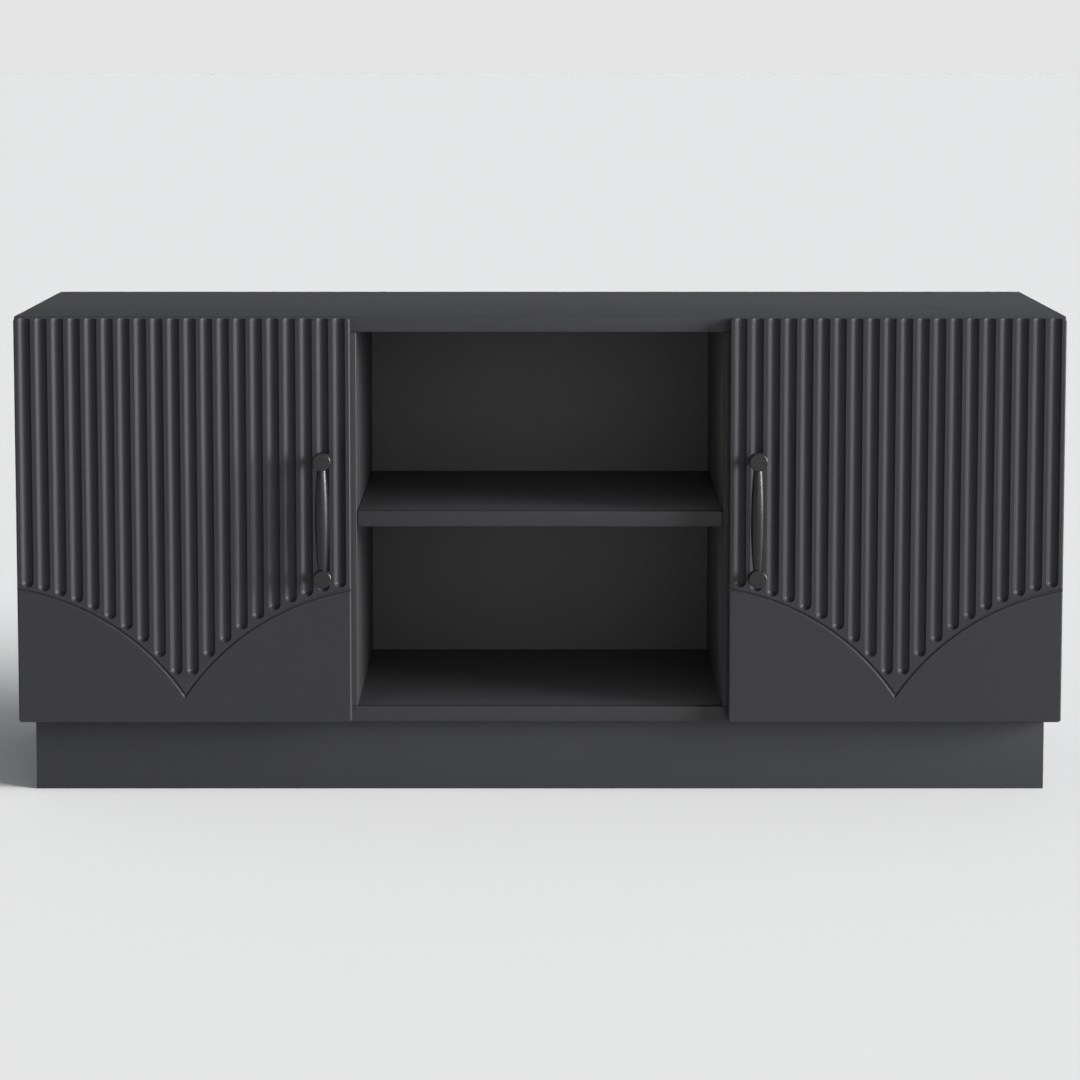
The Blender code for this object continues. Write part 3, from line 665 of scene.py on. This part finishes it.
def line_cutter(side):
    low, high = DOORS[side]
    half = nose_profile(LINE_CUTTER, LINE_DEPTH, LINE_ARRIS, LINE_STEPS, 2.0 * MM)
    whole_profile = [Vector((-p.x, p.y)) for p in reversed(half[:-1])] + half[1:-1]
    out = Vector((-BEND_CENTRE.x, -BEND_CENTRE.y)).normalized()
    tip_angle = math.atan2(out.y, out.x)
    early = PAST_TIP / LINE_BEND
    reach = door_width / 2 + PAST_SIDE
    last_angle = math.acos((reach - BEND_CENTRE.x) / LINE_BEND)
    start = Vector((math.cos(tip_angle + early), math.sin(tip_angle + early)))
    centre = Vector((BEND_CENTRE.x, 0, BEND_CENTRE.y))
    bm = bmesh.new()
    verts = []
    for across, above in whole_profile:
        spoke = start * (LINE_BEND + across)
        verts.append(bm.verts.new(centre + Vector((spoke.x, -above, spoke.y))))
    face = bm.faces.new(verts)
    bmesh.ops.spin(
        bm, geom=[face], cent=centre, axis=BACKWARD, angle=tip_angle + early - last_angle,
        steps=SWEEP_STEPS,
    )
    bmesh.ops.remove_doubles(bm, verts=bm.verts, dist=MERGE)
    bmesh.ops.bisect_plane(
        bm, geom=everything(bm), plane_co=(0, 0, 0), plane_no=(1, 0, 0), clear_inner=True,
        dist=MERGE,
    )
    bmesh.ops.mirror(bm, geom=everything(bm), axis="X", merge_dist=2 * MERGE)
    tip = Vector(((low.x + high.x) / 2, low.y, low.z + LINE_TIP))
    bmesh.ops.translate(bm, vec=tip, verts=bm.verts)
    tidy_normals(bm)
    return new_object("line_cutter", bm)


# %% [markdown]
# ## Cutting the doors
#
# From behind, each door has two 35 mm bores for the hinge cups and two holes for the handle's
# screws. They are cut last, as they would be in a workshop. Then the arrises are marked: they are
# where the surface lies just under the face, round the flutes, and where it turns into the edges.

# %% Doors
LEVELS = ("lower", "upper")
CUP_RADIUS = 17.5 * MM
CUP_DEPTH = 11.1 * MM
SCREW_RADIUS = 1.95 * MM
FIT_GAP = 0.3 * MM
CUT_ARRIS = (0.01 * MM, 0.3 * MM)
RIM_ARRIS = (0.2 * MM, 1.6 * MM)


def middle_of(node):
    low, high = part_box(node)
    return (low + high) / 2


def screw_places(side):
    return [middle_of(f"handle_screw_{side}_{level}") for level in LEVELS]


def cup_centre(side, level):
    low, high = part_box(f"hinge_cup_{side}_{level}")
    return Vector(((low.x + high.x) / 2, DOORS[side][1].y, (low.z + high.z) / 2))


def mark_door(obj, low, high):
    values = []
    for vertex in obj.data.vertices:
        x, y, z = vertex.co
        deep = y - low.y
        inside = min(x - low.x, high.x - x, z - low.z, high.z - z)
        cut = CUT_ARRIS[0] < deep < CUT_ARRIS[1] and inside > DOOR_ROUNDING
        rim = RIM_ARRIS[0] < deep < RIM_ARRIS[1] and inside < RIM_ARRIS[1]
        values.append(1.0 if cut else 0.8 if rim else 0.0)
    mark(obj, values)


def make_door(side):
    low, high = DOORS[side]
    door = door_blank(side)
    bores = [
        cylinder(f"bore_{level}", CUP_RADIUS + FIT_GAP, place, BACKWARD, CUP_DEPTH, 64)
        for level, place in ((level, cup_centre(side, level)) for level in LEVELS)
    ]
    holes = [
        cylinder(f"hole_{i}", SCREW_RADIUS + FIT_GAP, place, BACKWARD, 60 * MM, 24)
        for i, place in enumerate(screw_places(side))
    ]
    boolean(door, [flute_cutter(side), line_cutter(side)] + bores + holes, "DIFFERENCE")
    mark_door(door, low, high)
    finish(door, door_lacquer, f"door_{side}")
    return even_normals(door)


for side in DOORS:
    door = make_door(side)
    print(door.name, len(door.data.polygons), "faces")

# %% [markdown]
# ## Handles
#
# Each handle is a cast spindle: a grip that swells in the middle, held between two round posts with
# flat ends. The posts stand in a flute, so they sink until their edge meets its sides. All three
# parts are turned, then joined with a Boolean, because the real handle is one casting.

# %% Handles
DISC_RADIUS = 10.5 * MM
DISC_LENGTH = 12.0 * MM
POST_RADIUS = 4.5 * MM
GRIP_RADIUS = 8.0 * MM
NECK_RADIUS = 4.25 * MM
GRIP_FORWARD = 22.0 * MM
GRIP_STEPS = 48
DISC_EASE = 1.5 * MM
SCREW_BORE_REACH = 7.5 * MM
POLISHED_FORWARD = GRIP_FORWARD + 6.5 * MM
POLISHED_ASIDE = 2 * MM


def mark_grip(obj, x, face):
    """The rims of the end discs and the grip's widest part are what hands polish."""
    values = []
    for vertex in obj.data.vertices:
        forward, aside = face - vertex.co.y, abs(vertex.co.x - x)
        values.append(1.0 if forward > POLISHED_FORWARD and aside > POLISHED_ASIDE else 0.0)
    mark(obj, values)


def make_handle(side):
    low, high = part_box(f"handle_{side}")
    face = DOORS[side][0].y
    lower, upper = screw_places(side)
    x = (low.x + high.x) / 2
    reach = (upper.z - lower.z) / 2
    swell = []
    for i in range(GRIP_STEPS + 1):
        share = 2 * i / GRIP_STEPS - 1
        swell.append((NECK_RADIUS + (GRIP_RADIUS - NECK_RADIUS) * (1 - share**2), share * reach))
    middle = (x, face - GRIP_FORWARD, (lower.z + upper.z) / 2)
    profile = [(0, -reach)] + swell + [(0, reach)]
    grip = new_object(f"spindle_handle_{side}", lathe(profile, middle, UP, 64))
    front = face - low.y
    rear = front - DISC_LENGTH
    corners = [
        (0, front, 0),
        (DISC_RADIUS, front, DISC_EASE),
        (DISC_RADIUS, rear, DISC_EASE),
        (POST_RADIUS, rear, 0.8 * MM),
        (POST_RADIUS, face - high.y, 0.2 * MM),
        (0, face - high.y, 0),
    ]
    for level, place in zip(LEVELS, (lower, upper)):
        foot = (x, face, place.z)
        end = lathe(rounded(corners, 6), foot, (0, -1, 0), 64)
        boolean(grip, [new_object(f"{level}_end", end)], "UNION")
        bore = cylinder("bore", SCREW_RADIUS + FIT_GAP, foot, BACKWARD, SCREW_BORE_REACH, 24)
        boolean(grip, [bore], "DIFFERENCE")
    mark_grip(grip, x, face)
    finish(grip, handle_finish, f"handle_{side}", smooth_below=math.radians(30))
    return even_normals(grip)


for side in DOORS:
    handle = make_handle(side)
    print(handle.name, len(handle.data.polygons), "faces")

# %% [markdown]
# ## Screw heads
#
# Screws are bought by the box, so one head is made for each kind and copied. A pan head is a low
# dome, a countersunk one is flat. Both have a cross recess, cut by two tapered blades that stand for
# the driver's tip. The copy's mesh is moved, so that its object stays at the origin.

# %% Screw heads
FIRST_BLADE = 0.4  # radians
BLADE_TAPER = 0.35
PAN_HEIGHT = 2.2 * MM
SHANK_LENGTH = 25.0 * MM


def blade(length, width, depth, turn):
    """One blade of a cross-point driver, pointing down from z = 0."""
    bm = block((-length / 2, -width / 2, -depth), (length / 2, width / 2, depth))
    for vert in bm.verts:
        if vert.co.z < 0:
            vert.co.x *= BLADE_TAPER
    bmesh.ops.rotate(bm, matrix=Matrix.Rotation(turn, 3, "Z"), verts=bm.verts)
    return new_object("blade", bm)


def screw_head(name, corners, recess, steps=5):
    """A head along +Z from z = 0, with its shank; corners run from the top down."""
    head = new_object(name, lathe(rounded(corners, steps), (0, 0, 0), UP, 40))
    top = max(corner[1] for corner in corners)
    turns = (FIRST_BLADE, FIRST_BLADE + math.pi / 2)
    blades = [blade(recess, recess * 0.17, recess * 0.42, turn) for turn in turns]
    for cutter in blades:
        cutter.data.transform(Matrix.Translation((0, 0, top)))
    boolean(head, blades, "DIFFERENCE")
    head.hide_render = True
    return head


def copy_to(master, name, place, axis, turn=0.0):
    """A copy of a fitting with its +Z along axis, its place baked into its mesh."""
    copy = bpy.data.objects.new(name, master.data.copy())
    bpy.context.scene.collection.objects.link(copy)
    aim = Vector(axis).to_track_quat("Z", "Y").to_matrix().to_4x4()
    copy.data.transform(Matrix.Translation(place) @ aim @ Matrix.Rotation(turn, 4, "Z"))
    return copy


pan_head = screw_head(
    "pan_head",
    [
        (0, PAN_HEIGHT, 0),
        (3.0 * MM, PAN_HEIGHT, 1.2 * MM),
        (4.0 * MM, 1.1 * MM, 0.5 * MM),
        (4.0 * MM, 0, 0.15 * MM),
        (SCREW_RADIUS, 0, 0),
        (SCREW_RADIUS, -SHANK_LENGTH, 0.3 * MM),
        (0, -SHANK_LENGTH, 0),
    ],
    4.2 * MM,
)
flat_head = screw_head(
    "flat_head",
    [(0, 0, 0), (3.4 * MM, 0, 0.15 * MM), (1.6 * MM, -1.9 * MM, 0), (0, -1.9 * MM, 0)],
    3.4 * MM,
)
small_head = screw_head(
    "small_head",
    [(0, 1.2 * MM, 0), (2.9 * MM, 1.2 * MM, 0.5 * MM), (2.9 * MM, 0, 0), (0, 0, 0)],
    3.2 * MM,
)

for side in DOORS:
    for level, place in zip(LEVELS, screw_places(side)):
        node = f"handle_screw_{side}_{level}"
        seat = (place.x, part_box(node)[1].y - PAN_HEIGHT, place.z)
        screw = copy_to(pan_head, f"machine_screw_{side}_{level}", seat, BACKWARD, place.z * 9)
        even_normals(finish(screw, zinc, node))
print("handle screws", 4)

# %% [markdown]
# ## Concealed hinges
#
# A cup hinge has four pressed parts. The cup is drawn from sheet steel and let into the door, with a
# thin flange and two screwed wings. The arm is a channel that clips on a mounting plate inside the
# cabinet. Curved links join them. Each is nickel plated, with edges rounded by the press.

# %% Hinge places
HALF = cad_high.x
CARCASE_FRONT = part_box("side_panel_left")[0].y
BOARD = 18.0 * MM
SIGN = {"left": -1, "right": 1}
PIN_RADIUS = 1.5 * MM
EYE_RADIUS = 2.7 * MM
joint_places = {joint["name"]: Vector(joint["pos_m"]) for joint in frame["joints"]}


def corner(side, inward, forward, height=0.0):
    """A place by its distances inward from a side panel's outer face and forward of the carcase."""
    return Vector((SIGN[side] * (HALF - inward), CARCASE_FRONT - forward, height))


def corner_block(side, inward, forward, heights):
    a, b = (corner(side, i, f, h) for i, f, h in zip(inward, forward, heights))
    return block([min(p) for p in zip(a, b)], [max(p) for p in zip(a, b)])


def hinge_pivots(side):
    link = joint_places[f"{side}_hinge_link_turn"]
    cup = joint_places[f"{side}_door_swing"]
    return [(HALF - abs(p.x), CARCASE_FRONT - p.y) for p in (link, cup)]


def extra(obj, material, body):
    """A small fitting of its own that stands for no single CAD node."""
    dress(obj, material)
    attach(obj, body)
    return even_normals(obj)


print("link pivot", [round(v, 4) for v in hinge_pivots("left")[0]])

# %% [markdown]
# ## Hinge cups
#
# The cup is turned as one thin shell with a flange, because a deep-drawn cup is round. Two wings are
# joined to it, above and below, and a pin for the link's eye goes across it from wall to wall.

# %% Hinge cups
WING_REACH = 26.0 * MM
WING_HALF = 5 * MM
WING_SCREW = 22.0 * MM
WING_ROUNDING = 3.5 * MM
CUP_WALL = 1.0 * MM
CUP_BOTTOM, CUP_FLOOR = -10.8 * MM, -10.0 * MM


def make_cup(side, level):
    node = f"hinge_cup_{side}_{level}"
    low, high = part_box(node)
    centre = cup_centre(side, level)
    flange_back, flange_front = high.y - centre.y, FIT_GAP
    inside = CUP_RADIUS - CUP_WALL
    corners = [
        (0, CUP_BOTTOM, 0),
        (CUP_RADIUS, CUP_BOTTOM, 1.5 * MM),
        (CUP_RADIUS, flange_front, 0),
        (high.x - centre.x, flange_front, 0),
        (high.x - centre.x, flange_back, 0.15 * MM),
        (inside, flange_back, 0.3 * MM),
        (inside, CUP_FLOOR, 2.5 * MM),
        (0, CUP_FLOOR, 0),
    ]
    cup = new_object(f"{node}_pressing", lathe(rounded(corners, 5), centre, BACKWARD, 72))
    for end in (-1, 1):
        near, far = centre.z + end * (CUP_RADIUS - 0.4 * MM), centre.z + end * WING_REACH
        wing_low = (centre.x - WING_HALF, centre.y + flange_front, min(near, far))
        wing_high = (centre.x + WING_HALF, centre.y + flange_back - 0.01 * MM, max(near, far))
        bm = block(wing_low, wing_high)
        through = [e for e in bm.edges if abs(e.verts[0].co.y - e.verts[1].co.y) > 0.01 * MM]
        tips = [e for e in through if abs(e.verts[0].co.z - far) < MERGE]
        round_edges(bm, tips, WING_ROUNDING, 6)
        boolean(cup, [new_object("wing", bm)], "UNION")
    pivot = corner(side, *hinge_pivots(side)[1], centre.z)
    edge = abs(pivot.x - centre.x) + PIN_RADIUS
    pin_half = math.sqrt((CUP_RADIUS - 0.25 * MM) ** 2 - edge**2)
    boolean(cup, [cylinder("pin", PIN_RADIUS, pivot, UP, pin_half, 32)], "UNION")
    even_normals(finish(cup, nickel, node))
    for end in (-1, 1):
        place = (centre.x, centre.y + flange_back + 0.05 * MM, centre.z + end * WING_SCREW)
        name = f"cup_screw_{side}_{level}_{end + 1}"
        screw = copy_to(flat_head, name, place, BACKWARD, end * 0.5)
        extra(screw, zinc, f"{side}_door")


print("cup", CUP_RADIUS * 2 / MM, "mm across")

# %% [markdown]
# ## Hinge links
#
# A link is a strip bent into a bow, so that it clears the edge of the door as it swings. The bow is
# a parabola through the two pivots, given a thickness on both sides. The eyes are turned and joined.

# %% Hinge links
LINK_STEPS = 24
LINK_BOW = 5.0 * MM
LINK_THICKNESS = 1.8 * MM
LINK_HALF_WIDTH = 3.5 * MM


def make_link(side, level, height):
    node = f"hinge_link_{side}_{level}"
    start, end = (Vector(p) for p in hinge_pivots(side))
    span = end - start
    near, far = [], []
    for i in range(LINK_STEPS + 1):
        share = i / LINK_STEPS
        middle = start + span * share + Vector((0, LINK_BOW * 4 * share * (1 - share)))
        along = (span + Vector((0, LINK_BOW * 4 * (1 - 2 * share)))).normalized()
        across = Vector((-along.y, along.x)) * LINK_THICKNESS / 2
        near.append(middle + across)
        far.append(middle - across)
    outline = [corner(side, *p)[:2] for p in near + far[::-1]]
    low_z, high_z = height - LINK_HALF_WIDTH, height + LINK_HALF_WIDTH
    link = new_object(f"{node}_strip", pressed(outline, low_z, high_z))
    soften(link, 0.25 * MM, 2, 50)
    eyes, holes = [], []
    width, ease = LINK_HALF_WIDTH, 0.2 * MM
    profile = [(0, -width, 0), (EYE_RADIUS, -width, ease), (EYE_RADIUS, width, ease), (0, width, 0)]
    for place in (start, end):
        centre = corner(side, *place, height)
        eyes.append(new_object("eye", lathe(rounded(profile, 2), centre, UP, 36)))
        holes.append(cylinder("hole", PIN_RADIUS + FIT_GAP, centre, UP, 8 * MM, 36))
    boolean(link, eyes, "UNION")
    boolean(link, holes, "DIFFERENCE")
    even_normals(finish(link, nickel, node))


print("link", LINK_HALF_WIDTH * 2 / MM, "mm wide")

# %% [markdown]
# ## Hinge arms
#
# An arm is a channel folded from sheet. Its side view is pressed from an outline, its edges are
# softened, and then it is hollowed out, slotted for the link, and keyholed for the depth screw.

# %% Hinge arms
ARM_HALF_WIDTH = 6.5 * MM
ARM_HALF_HEIGHT = 3.0 * MM
ARM_LOW = 22.0 * MM
ARM_BACK = -58 * MM
NOSE_STEPS = 14
KEYHOLE_HALF = 2.2 * MM
SHEET = 1.2 * MM


def arm_cutter(name, side, inward, forward, height, half):
    return new_object(name, corner_block(side, inward, forward, (height - half, height + half)))


def make_arm(side, level, height):
    node = f"hinge_arm_{side}_{level}"
    link_in, link_forward = hinge_pivots(side)[0]
    nose, top, neck = ARM_HALF_HEIGHT, link_in + ARM_HALF_HEIGHT, link_in - ARM_HALF_HEIGHT
    angles = [math.pi * i / NOSE_STEPS for i in range(NOSE_STEPS + 1)]
    outline = [(link_in + nose * math.cos(a), link_forward + nose * math.sin(a)) for a in angles]
    outline += [(neck, -10 * MM), (ARM_LOW, -17 * MM), (ARM_LOW, ARM_BACK), (top, ARM_BACK)]
    outline = [corner(side, *p)[:2] for p in outline]
    low_z, high_z = height - ARM_HALF_WIDTH, height + ARM_HALF_WIDTH
    arm = new_object(f"{node}_channel", pressed(outline, low_z, high_z))
    soften(arm, 0.9 * MM, 4, 50)
    wall, gap = ARM_HALF_WIDTH - SHEET, LINK_HALF_WIDTH + FIT_GAP
    cuts = (
        ("hollow", (ARM_LOW - 5 * MM, top - SHEET), (-56.8 * MM, -18.5 * MM), wall),
        ("slot", (link_in - 8 * MM, link_in + 8 * MM), (-6 * MM, 12 * MM), gap),
        ("key", (top - 4 * MM, top + 2 * MM), (-50 * MM, -41 * MM), KEYHOLE_HALF),
    )
    cutters = []
    for name, inward, forward, half in cuts:
        cutters.append(arm_cutter(name, side, inward, forward, height, half))
    boolean(arm, cutters, "DIFFERENCE")
    pivot = corner(side, link_in, link_forward, height)
    pin = cylinder("pin", PIN_RADIUS, pivot, UP, ARM_HALF_WIDTH - 0.4 * MM, 32)
    boolean(arm, [pin], "UNION")
    even_normals(finish(arm, nickel, node))
    inward = Vector((-SIGN[side], 0, 0))
    for name, forward in (("depth", -45.5 * MM), ("side", -27.0 * MM)):
        place = corner(side, top - 0.2 * MM, forward, height)
        extra(
            copy_to(small_head, f"hinge_{name}_screw_{side}_{level}", place, inward, forward * 40),
            zinc, "carcase",
        )


print("arm", ARM_HALF_WIDTH * 2 / MM, "mm wide")

# %% [markdown]
# ## Mounting plates
#
# A plate is a short cast rail, which the arm clips over, across a flat wing that is screwed to the
# side panel. Both are blocks with rounded ends, joined, and then softened together like a casting.

# %% Mounting plates
RAIL_HALF = 9 * MM
PLATE_DEEP = 37 * MM
PLATE_HALF = 6 * MM
PLATE_FACE = 21.65 * MM
PLATE_SCREW = 18 * MM


def round_corners(bm, radius, steps):
    """Round the four edges that run through a plate from its panel to its face."""
    through = [e for e in bm.edges if abs(e.verts[0].co.x - e.verts[1].co.x) > MM]
    round_edges(bm, through, radius, steps)


def make_plate(side, level, height):
    node = f"hinge_plate_{side}_{level}"
    low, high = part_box(node)
    rail = block((low.x, low.y, height - RAIL_HALF), (high.x, high.y, height + RAIL_HALF))
    round_corners(rail, 3 * MM, 6)
    plate = new_object(f"{node}_casting", rail)
    middle = CARCASE_FRONT + PLATE_DEEP
    wing_low = (low.x + FIT_GAP, middle - PLATE_HALF, low.z)
    wing = block(wing_low, (high.x - FIT_GAP, middle + PLATE_HALF, high.z))
    round_corners(wing, 5.5 * MM, 8)
    boolean(plate, [new_object("wing", wing)], "UNION")
    soften(plate, 0.5 * MM, 3, 50)
    even_normals(finish(plate, nickel, node))
    face, inward = corner(side, PLATE_FACE, 0).x, (-SIGN[side], 0, 0)
    for end in (-1, 1):
        place = (face, middle, height + end * PLATE_SCREW)
        screw = copy_to(flat_head, f"plate_screw_{side}_{level}_{end + 1}", place, inward, end)
        extra(screw, zinc, "carcase")


for side in DOORS:
    for level in LEVELS:
        height = cup_centre(side, level).z
        make_cup(side, level)
        make_link(side, level, height)
        make_arm(side, level, height)
        make_plate(side, level, height)
print("hinges", 4)

# %% [markdown]
# ## Shelf pins and bumpers
#
# The side shelves lie on 5 mm steel pins, each with a thin collar that stops it at the board. The
# doors close on small domed dots of clear plastic, which keep the lacquer from touching.

# %% Pins and bumpers
COLLAR_RADIUS = 3.6 * MM
COLLAR_THICKNESS = 0.7 * MM
COLLAR_GAP = 0.02 * MM


def pin_board_face(node):
    """X of the board face that a shelf pin stands in."""
    side, board_name = node.split("_")[2:4]
    if board_name == "side":
        return SIGN[side] * (HALF - BOARD)
    low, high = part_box(f"partition_{side}")
    return high.x if side == "right" else low.x


def make_pin(node):
    low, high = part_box(node)
    centre = (low + high) / 2
    face = pin_board_face(node)
    into = 1 if high.x - face < face - low.x else -1
    reach, radius = (high.x - low.x) / 2, (high.z - low.z) / 2
    stop = abs(face - centre.x)
    corners = [
        (0, -reach, 0),
        (radius, -reach, 0.6 * MM),
        (radius, stop - COLLAR_THICKNESS, 0),
        (COLLAR_RADIUS, stop - COLLAR_THICKNESS, 0.2 * MM),
        (COLLAR_RADIUS, stop - COLLAR_GAP, 0),
        (radius, stop - COLLAR_GAP, 0),
        (radius, reach, 0.5 * MM),
        (0, reach, 0),
    ]
    pin = new_object(f"{node}_turned", lathe(rounded(corners, 3), centre, (into, 0, 0), 32))
    even_normals(finish(pin, zinc, node))


def make_bumper(node):
    low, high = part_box(node)
    thick, radius = high.y - low.y, (high.x - low.x) / 2
    corners = [
        (0, -thick / 2, 0),
        (radius, -thick / 2, 0.1 * MM),
        (radius, thick * 0.1, 0.3 * MM),
        (radius * 0.7, thick / 2, 0.8 * MM),
        (0, thick / 2, 0),
    ]
    dot = new_object(f"{node}_dome", lathe(rounded(corners, 4), middle_of(node), BACKWARD, 32))
    even_normals(finish(dot, bumper_plastic, node))


for node in sorted(frame["nodes"]):
    if node.startswith("shelf_pin_"):
        make_pin(node)
    if node.startswith("door_bumper_"):
        make_bumper(node)
for master in (pan_head, flat_head, small_head):
    bpy.data.objects.remove(master)

# %% [markdown]
# ## Floor, light and camera
#
# A plain pale floor, a soft even sky and one large soft light from the front right and above, as in
# a product studio. The light is a wide sun, so that the floor is equally bright all the way back,
# and a weak one from the front fills its shadows. Two small lamps at the mouth of the open bay light
# its back. The sky that the lens sees is as pale as the floor, so that no horizon shows.

# %% Studio
SKY_TINT = (0.96, 0.98, 1.0, 1)
SKY_STRENGTH = 0.28
BACKDROP = (0.78, 0.78, 0.78, 1)
KEY_STRENGTH, KEY_WIDTH = 10.4, 34
FILL_STRENGTH, FILL_WIDTH = 0.9, 40
BAY_WATTS = 0.46


def floor_paint():
    r = Recipe("studio_floor")
    clouds = r.noise(0.6, 2.0, 0.5)
    base = r.mix(clouds, (0.80, 0.80, 0.80, 1), (0.82, 0.82, 0.82, 1))
    return r.set(Base_Color=base, Roughness=0.9, Specular_IOR_Level=0.1)


FLOOR_SIZE = 160.0
floor_mesh = bmesh.new()
bmesh.ops.create_grid(floor_mesh, x_segments=1, y_segments=1, size=FLOOR_SIZE / 2)
floor = new_object("studio_floor", floor_mesh)
floor.data.materials.append(floor_paint())

scene = bpy.context.scene
scene.view_settings.view_transform = "Standard"
sky = bpy.data.worlds.new("soft_sky")
scene.world = sky
sky.use_nodes = True
sky_nodes, sky_links = sky.node_tree.nodes, sky.node_tree.links
sky_light = sky_nodes["Background"]
sky_light.inputs["Color"].default_value = SKY_TINT
sky_light.inputs["Strength"].default_value = SKY_STRENGTH
backdrop = sky_nodes.new("ShaderNodeBackground")
backdrop.inputs["Color"].default_value = BACKDROP
seen = sky_nodes.new("ShaderNodeLightPath")
choose = sky_nodes.new("ShaderNodeMixShader")
sky_links.new(seen.outputs["Is Camera Ray"], choose.inputs[0])
sky_links.new(sky_light.outputs[0], choose.inputs[1])
sky_links.new(backdrop.outputs[0], choose.inputs[2])
sky_links.new(choose.outputs[0], sky_nodes["World Output"].inputs["Surface"])


def light(name, kind, energy, come_from, place=(0, 0, 0)):
    data = bpy.data.lights.new(name, kind)
    data.energy = energy
    obj = bpy.data.objects.new(name, data)
    scene.collection.objects.link(obj)
    obj.rotation_euler = Vector(come_from).to_track_quat("Z", "Y").to_euler()
    obj.location = place
    return obj


def from_angles(round_to_right, up):
    """A direction by its angle round from the front and its angle above the floor, in degrees."""
    a, b = math.radians(round_to_right), math.radians(up)
    return (math.sin(a) * math.cos(b), -math.cos(a) * math.cos(b), math.sin(b))


key = light("key_light", "SUN", KEY_STRENGTH, from_angles(71, 12))
key.data.angle = math.radians(KEY_WIDTH)
fill = light("front_fill", "SUN", FILL_STRENGTH, from_angles(14, 0))
fill.data.angle = math.radians(FILL_WIDTH)
shelf_low, shelf_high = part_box("centre_shelf")
for name, low_z, high_z in (
    ("upper", shelf_high.z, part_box("top_panel")[0].z),
    ("lower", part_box("bottom_panel")[1].z, shelf_low.z),
):
    mouth = (0, shelf_low.y + 4 * MM, (low_z + high_z) / 2)
    bay = light(f"bay_fill_{name}", "AREA", BAY_WATTS, (0, -1, 0), mouth)
    bay.data.shape = "RECTANGLE"
    bay.data.size = shelf_high.x - shelf_low.x - 20 * MM
    bay.data.size_y = high_z - low_z - 10 * MM
    bay.visible_camera = False

# %% Camera
CAMERA_PLACE = (0, -4.0144, 0.8665)
CAMERA_DOWN = 5.713  # degrees
camera_data = bpy.data.cameras.new("front_camera")
camera_data.sensor_width = 36
camera_data.lens = 112.907
camera_data.shift_y = -0.15
camera = bpy.data.objects.new("front_camera", camera_data)
scene.collection.objects.link(camera)
camera.location = CAMERA_PLACE
camera.rotation_euler = (math.radians(90 - CAMERA_DOWN), 0, 0)
scene.camera = camera
print("camera at", CAMERA_PLACE)
